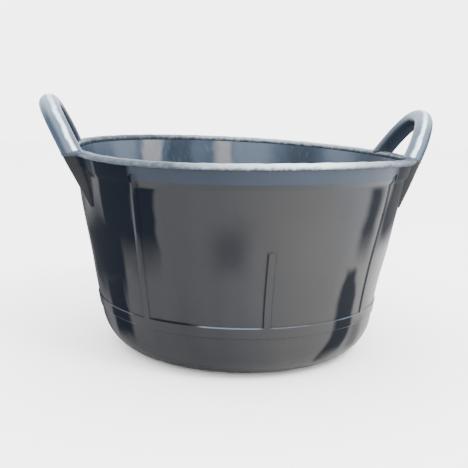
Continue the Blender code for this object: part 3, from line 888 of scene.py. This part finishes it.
def root_rings(side, middle, lean):
    """Half-round sections of a root from its tip up to the ear, leant round by the tip."""
    share = np.linspace(0, 1, ROOT_STEPS)[:, None]
    tip_height = TUB_HEIGHT - ROOT_LENGTH
    heights = tip_height + (BEAD_BOTTOM + ROOT_TOP_SINK - tip_height) * share
    half = ROOT_TIP_HALF_WIDTH + (ROOT_HALF_WIDTH - ROOT_TIP_HALF_WIDTH) * share
    tip = wall_line(tip_height) + ROOT_TIP_PROUD
    outer = tip + (EAR_REACH[side] - ROOT_TOP_INSET - tip) * share
    inner = wall_line(heights) - WALL_THICKNESS / 2
    turn = np.linspace(-math.pi / 2, math.pi / 2, ROOT_SIDES)[None, :]
    radius = inner + (outer - inner) * np.cos(turn)
    across = half * np.sin(turn) / (wall_line(heights) + ROOT_MIDDLE_PROUD)
    return round_points(radius, middle + lean * (1 - share) + across, heights)


roots = (
    ("handle_root_left_front", EARS[0], ROOT_LEAN),
    ("handle_root_left_back", EARS[1], -ROOT_LEAN),
    ("handle_root_right_front", EARS[2], -ROOT_LEAN),
    ("handle_root_right_back", EARS[3], ROOT_LEAN),
)
for node, (side, middle), lean in roots:
    root = skin(node + "_dressed", root_rings(side, middle, lean), closed=False)
    root.data.materials.append(strip_rubber)
    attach(root, "tub")
    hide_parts(node)


# Handle cords: a soft laid rope of three strands in the middle of each handle, put into the
# mould with the rubber round it, so that the loop can't stretch under a full tub.
CORD_RADIUS = 0.0040
# points along a cord, and round it
CORD_POINTS, CORD_SIDES = 240, 30
STRANDS = 3
STRAND_TURNS = 16
STRAND_BULGE = 0.16
# the middle line of the left handle (-1) and the right one (1): how far it reaches, how much
# narrower its top is, and how far its back leg bows in; a squareness of 2 would be a half oval
LOOP_REACH = {-1: 0.0629, 1: 0.0622}
LOOP_TAPER = {-1: 0.17, 1: 0.34}
BACK_LEG_BOW = {-1: 0.0034, 1: 0.0}
LOOP_SQUARENESS = 2.45
LOOP_START_DEPTH = 0.004
LOOP_END_DEPTH = 0.0035
LINE_STEPS = 4001
# where the legs' bend would start, above the rim's top
BEND_START = 0.001
HANDLES = ((-1, "left_handle"), (1, "right_handle"))


def loop_line(count, side):
    """Even points along a handle, drawn on the right, and the directions of travel."""
    turn = np.linspace(0, math.pi, LINE_STEPS)
    along = np.abs(np.sin(turn)) ** (2 / LOOP_SQUARENESS)
    across = np.sign(np.cos(turn)) * np.abs(np.cos(turn)) ** (2 / LOOP_SQUARENESS)
    reach = LOOP_REACH[side] * along
    lean = LOOP_LEAN[side]
    foot = LOOP_PLANE_X + LOOP_OUT[side] - LOOP_START_DEPTH * math.tan(lean)
    y = LOOP_HALF_SPAN * across * (1 - LOOP_TAPER[side] * along)
    x = foot + reach * math.sin(lean) - BACK_LEG_BOW[side] * np.maximum(across, 0) * along
    z = TUB_HEIGHT - LOOP_START_DEPTH + reach * math.cos(lean)
    line = np.stack([x, y, z], axis=1)
    line = line[z > TUB_HEIGHT - LOOP_END_DEPTH]
    length = np.concatenate([[0], np.cumsum(np.linalg.norm(np.diff(line, axis=0), axis=1))])
    even = np.linspace(0, length[-1], count)
    points = np.stack([np.interp(even, length, line[:, axis]) for axis in range(3)], axis=1)
    travel = np.gradient(points, axis=0)
    return points, travel / np.linalg.norm(travel, axis=1)[:, None]


def tube_rings(points, travel, radii, side):
    """Round rings of a rod on a handle's line; radii has one row for each point."""
    normal = np.array((math.cos(LOOP_LEAN[side]), 0.0, -math.sin(LOOP_LEAN[side])))
    across = np.cross(normal, travel)
    turn = np.linspace(0, 2 * math.pi, radii.shape[1], endpoint=False)
    way = normal * np.cos(turn)[None, :, None] + across[:, None, :] * np.sin(turn)[None, :, None]
    return points[:, None, :] + way * radii[:, :, None]


def to_side(rings, side):
    """The rings as they are on the right, or mirrored to the left."""
    return rings * np.array((side, 1.0, 1.0))


def bend_with_handle(piece, side):
    """Bakes a piece's place into its mesh; where its bend would start and which way it would go
    are worked out, but nothing bends.
    """
    start = Vector((side * LOOP_PLANE_X, 0.0, TUB_HEIGHT + BEND_START))
    way = Vector((side * math.sin(LOOP_LEAN[side]), 0.0, math.cos(LOOP_LEAN[side])))
    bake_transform(piece)


CORD_DARK = (0.50, 0.47, 0.39)
CORD_LIGHT = (0.62, 0.59, 0.51)
cord_textile = Finish("cord_textile")
twist = cord_textile.noise(700.0, 2.0)
cord_textile.set(
    Base_Color=cord_textile.mix(twist, CORD_DARK, CORD_LIGHT),
    Roughness=0.85 + 0.1 * twist,
    Normal=cord_textile.bump(twist, 0.0004, 0.4),
)
for side, body in HANDLES:
    points, travel = loop_line(CORD_POINTS, side)
    turn = np.linspace(0, 2 * math.pi, CORD_SIDES, endpoint=False)
    lay = 2 * math.pi * STRAND_TURNS / STRANDS * np.linspace(0, 1, CORD_POINTS)[:, None]
    strand = np.abs(np.cos(STRANDS / 2 * (turn + lay)))
    radii = CORD_RADIUS * (1 - STRAND_BULGE + STRAND_BULGE * strand)
    rings = to_side(tube_rings(points, travel, radii, side), side)
    cord = skin(body + "_cord_dressed", rings, closed=False)
    cord.data.materials.append(cord_textile.material)
    bend_with_handle(cord, side)
    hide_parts(body + "_cord")


# Handle loops: round rubber rods bent over the cord. Their feet spread into the lip and its
# ears, where the rubber flowed together in the mould.
ROD_POINTS, ROD_SIDES = 190, 48
BORE_RADIUS = 0.0043
# the feet spread into the lip, most of all towards the handle's middle and along the rim
SPREAD_HEIGHT = 0.011
SPREAD_INWARD = 0.0040
SPREAD_OUTWARD = 0.0012
SPREAD_CURVE = 2.4
SPREAD_ACROSS_RIM = 0.35
# the rings of a foot turn level with the lip, and shrink where they are hidden in it
LEVEL_HEIGHT = 0.016
STEEPNESS_LEAST = 0.4
OUTWARD_MOST = 1.2
FOOT_SINK = 0.0015
FOOT_SHRINK = 0.35
FOOT_SHRINK_START = 0.0010


def rod_rings(radius, spread, side):
    """Rings of the rod from foot to foot, lying on the lip and its drooping ears at the feet."""
    points, travel = loop_line(ROD_POINTS, side)
    above = points[:, 2] - TUB_HEIGHT
    hidden = (FOOT_SHRINK_START - above) / (FOOT_SHRINK_START + LOOP_END_DEPTH)
    hidden = np.clip(hidden, 0, 1)
    radii = np.repeat(radius * (1 - FOOT_SHRINK * hidden)[:, None], ROD_SIDES, axis=1)
    rings = tube_rings(points, travel, radii, side)
    up = travel * np.sign(travel[:, 2])[:, None]
    level = 1 - smooth(above, 0.0, LEVEL_HEIGHT)
    outward = np.clip((rings[:, :, 0] - points[:, None, 0]) / ROD_RADIUS, 0, OUTWARD_MOST)
    target = points[:, None, 2] - FOOT_SINK - EAR_DROOP * outward
    down = (target - rings[:, :, 2]) / np.maximum(up[:, None, 2], STEEPNESS_LEAST)
    rings = rings + up[:, None, :] * (down * level[:, None])[:, :, None]
    if spread:
        way = rings - points[:, None, :]
        way = way / np.linalg.norm(way, axis=2)[:, :, None]
        grow = np.clip(1 - above / SPREAD_HEIGHT, 0, 1)[:, None] ** SPREAD_CURVE
        middle_side = np.maximum(-way[:, :, 1] * np.sign(points[:, None, 1]), 0) ** 3
        amount = grow * (SPREAD_OUTWARD + (SPREAD_INWARD - SPREAD_OUTWARD) * middle_side)
        flat_way = way * np.array((SPREAD_ACROSS_RIM, 1.0, 0.0))
        rings = rings + flat_way * amount[:, :, None]
    return rings


# The rod is blue-grey, with a painted sky reflection lightening its top and a painted highlight in
# a line along the front leg, and painted shade on the outer side, on the back leg and inside the
# loop.
# Its marks loop_out and loop_side are 1 on the outer side and inside the loop, and -1 opposite.
GRIP_BLUE = (0.042, 0.056, 0.078)
GRIP_CLOUD = (0.068, 0.088, 0.116)
GRIP_LIT_TOP = (0.115, 0.150, 0.195)
GRIP_HIGHLIGHT = (0.46, 0.60, 0.68)
GRIP_BACK_SHADE = (0.040, 0.050, 0.066)
GRIP_OUTER_SHADE = (0.018, 0.028, 0.042)
GRIP_INSIDE_SHADE = (0.012, 0.016, 0.023)
grip = Finish("handle_rubber")
loop_side = grip.node("ShaderNodeAttribute", {"attribute_name": "loop_side"}, {}, "Fac")
loop_out = grip.node("ShaderNodeAttribute", {"attribute_name": "loop_out"}, {}, "Fac")
grip_clouds = grip.noise(70.0, 3.0)
uneven = grip_clouds - 0.5
# painted light on the top and a painted highlight streak; painted shade on the back leg, the outer
# side and inside the loop
lit_top = grip.soft_step(grip.z, TUB_HEIGHT + 0.030, TUB_HEIGHT + 0.056)
highest = grip.soft_step(grip.z, TUB_HEIGHT + 0.044, TUB_HEIGHT + 0.060)
back_leg_shade = grip.soft_step(grip.y, 0.0, 0.035)
highlight_streak = grip.soft_step(abs(loop_out + (0.46 + 0.4 * uneven)), 0.32, 0.06)
highlight_streak = highlight_streak * grip.soft_step(loop_side, 0.1, -0.5) * (1 - 0.45 * highest)
outside_shade = grip.soft_step(loop_out + 0.3 * uneven, 0.08, 0.55) * (1 - 0.6 * lit_top)
inside_shade = grip.soft_step(loop_side + 0.2 * uneven, 0.28, 0.80)
grip_colour = grip.mix(grip_clouds, GRIP_BLUE, GRIP_CLOUD)
grip_colour = grip.mix(0.8 * lit_top, grip_colour, GRIP_LIT_TOP)
grip_colour = grip.mix(highlight_streak, grip_colour, GRIP_HIGHLIGHT)
grip_colour = grip.mix(0.8 * back_leg_shade, grip_colour, GRIP_BACK_SHADE)
grip_colour = grip.mix(outside_shade, grip_colour, GRIP_OUTER_SHADE)
gloss = 0.45 + 0.4 * highlight_streak - 0.35 * outside_shade
grip.set(
    Base_Color=grip.mix(inside_shade, grip_colour, GRIP_INSIDE_SHADE),
    Roughness=0.4 + 0.15 * grip_clouds,
    Specular_IOR_Level=0.0,
    Coat_Weight=gloss * (1 - 0.9 * inside_shade) * (1 - 0.6 * back_leg_shade),
    Coat_Roughness=0.22,
    Normal=grip.bump(grip.noise(500.0, 2.0), 0.0002, 0.12),
)
for side, body in HANDLES:
    outer = rod_rings(ROD_RADIUS, True, side)
    bore = rod_rings(BORE_RADIUS, False, side)
    rings = np.concatenate([outer, bore[::-1]])
    turn = np.linspace(0, 2 * math.pi, ROD_SIDES, endpoint=False)
    marks = {
        "loop_side": np.broadcast_to(np.sin(turn), rings.shape[:2]),
        "loop_out": np.broadcast_to(np.cos(turn), rings.shape[:2]),
    }
    loop = skin(body + "_loop_dressed", to_side(rings, side), closed=True, marks=marks)
    loop.data.materials.append(grip.material)
    bend_with_handle(loop, side)
    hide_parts(body + "_loop")


# Studio: a plain pale floor of paper under soft light from all round and one large square
# lamp, and the camera at the photograph's place, distance and lens.
FLOOR_HALF = 4.0
PAPER_DARK = (0.92, 0.92, 0.92)
PAPER_LIGHT = (0.95, 0.95, 0.95)
AIR_BRIGHTNESS = 5.0
LAMP_PLACE = Vector((0.9, -1.3, 1.9))
LAMP_AIM = Vector((0.0, 0.0, 0.2))
LAMP_SIZE = 0.7
LAMP_POWER = 60.0
CAMERA_AZIMUTH = -10.9 * DEGREE
CAMERA_ELEVATION = 0.1955
CAMERA_DISTANCE = 1.0695
CAMERA_ROLL = 0.027
AIM_HEIGHT = 0.1363
LENS = 59.47
SHIFT_X = -0.00726
SHIFT_Y = 0.01713

floor_mesh = bpy.data.meshes.new("studio_floor")
floor_corners = [(-1, -1), (1, -1), (1, 1), (-1, 1)]
floor_places = [(FLOOR_HALF * x, FLOOR_HALF * y, 0.0) for x, y in floor_corners]
floor_mesh.from_pydata(floor_places, [], [(0, 1, 2, 3)])
floor = bpy.data.objects.new("studio_floor", floor_mesh)
bpy.context.scene.collection.objects.link(floor)
paper = Finish("floor_paper")
# the floor has no laid_at mark, so its grain is laid out by its own box
paper_grain = paper.node("ShaderNodeTexNoise", {}, {"Scale": 300.0})
paper.set(Base_Color=paper.mix(paper_grain, PAPER_DARK, PAPER_LIGHT), Roughness=0.9)
floor_mesh.materials.append(paper.material)

soft_box = bpy.data.lights.new("key_light", "AREA")
soft_box.shape = "SQUARE"
soft_box.size = LAMP_SIZE
soft_box.energy = LAMP_POWER
lamp = bpy.data.objects.new("key_light", soft_box)
lamp.location = LAMP_PLACE
lamp.rotation_mode = "QUATERNION"
lamp.rotation_quaternion = (LAMP_AIM - LAMP_PLACE).to_track_quat("-Z", "Y")
bpy.context.scene.collection.objects.link(lamp)

air = bpy.data.worlds.new("studio_air")
bpy.context.scene.world = air
air.use_nodes = True
air.node_tree.nodes["Background"].inputs["Color"].default_value = (1.0, 1.0, 1.0, 1.0)
air.node_tree.nodes["Background"].inputs["Strength"].default_value = AIR_BRIGHTNESS

back = Vector((
    math.sin(CAMERA_AZIMUTH) * math.cos(CAMERA_ELEVATION),
    -math.cos(CAMERA_AZIMUTH) * math.cos(CAMERA_ELEVATION),
    math.sin(CAMERA_ELEVATION),
))
level_right = Vector((math.cos(CAMERA_AZIMUTH), math.sin(CAMERA_AZIMUTH), 0.0))
level_up = back.cross(level_right)
right = level_right * math.cos(CAMERA_ROLL) + level_up * math.sin(CAMERA_ROLL)
up = level_up * math.cos(CAMERA_ROLL) - level_right * math.sin(CAMERA_ROLL)
camera = bpy.data.objects.new("camera", bpy.data.cameras.new("camera"))
camera.data.lens = LENS
camera.data.shift_x = SHIFT_X
camera.data.shift_y = SHIFT_Y
stand = Vector((0.0, 0.0, AIM_HEIGHT)) + back * CAMERA_DISTANCE
camera.matrix_world = Matrix.Translation(stand) @ Matrix((right, up, back)).transposed().to_4x4()
bpy.context.scene.collection.objects.link(camera)
bpy.context.scene.camera = camera
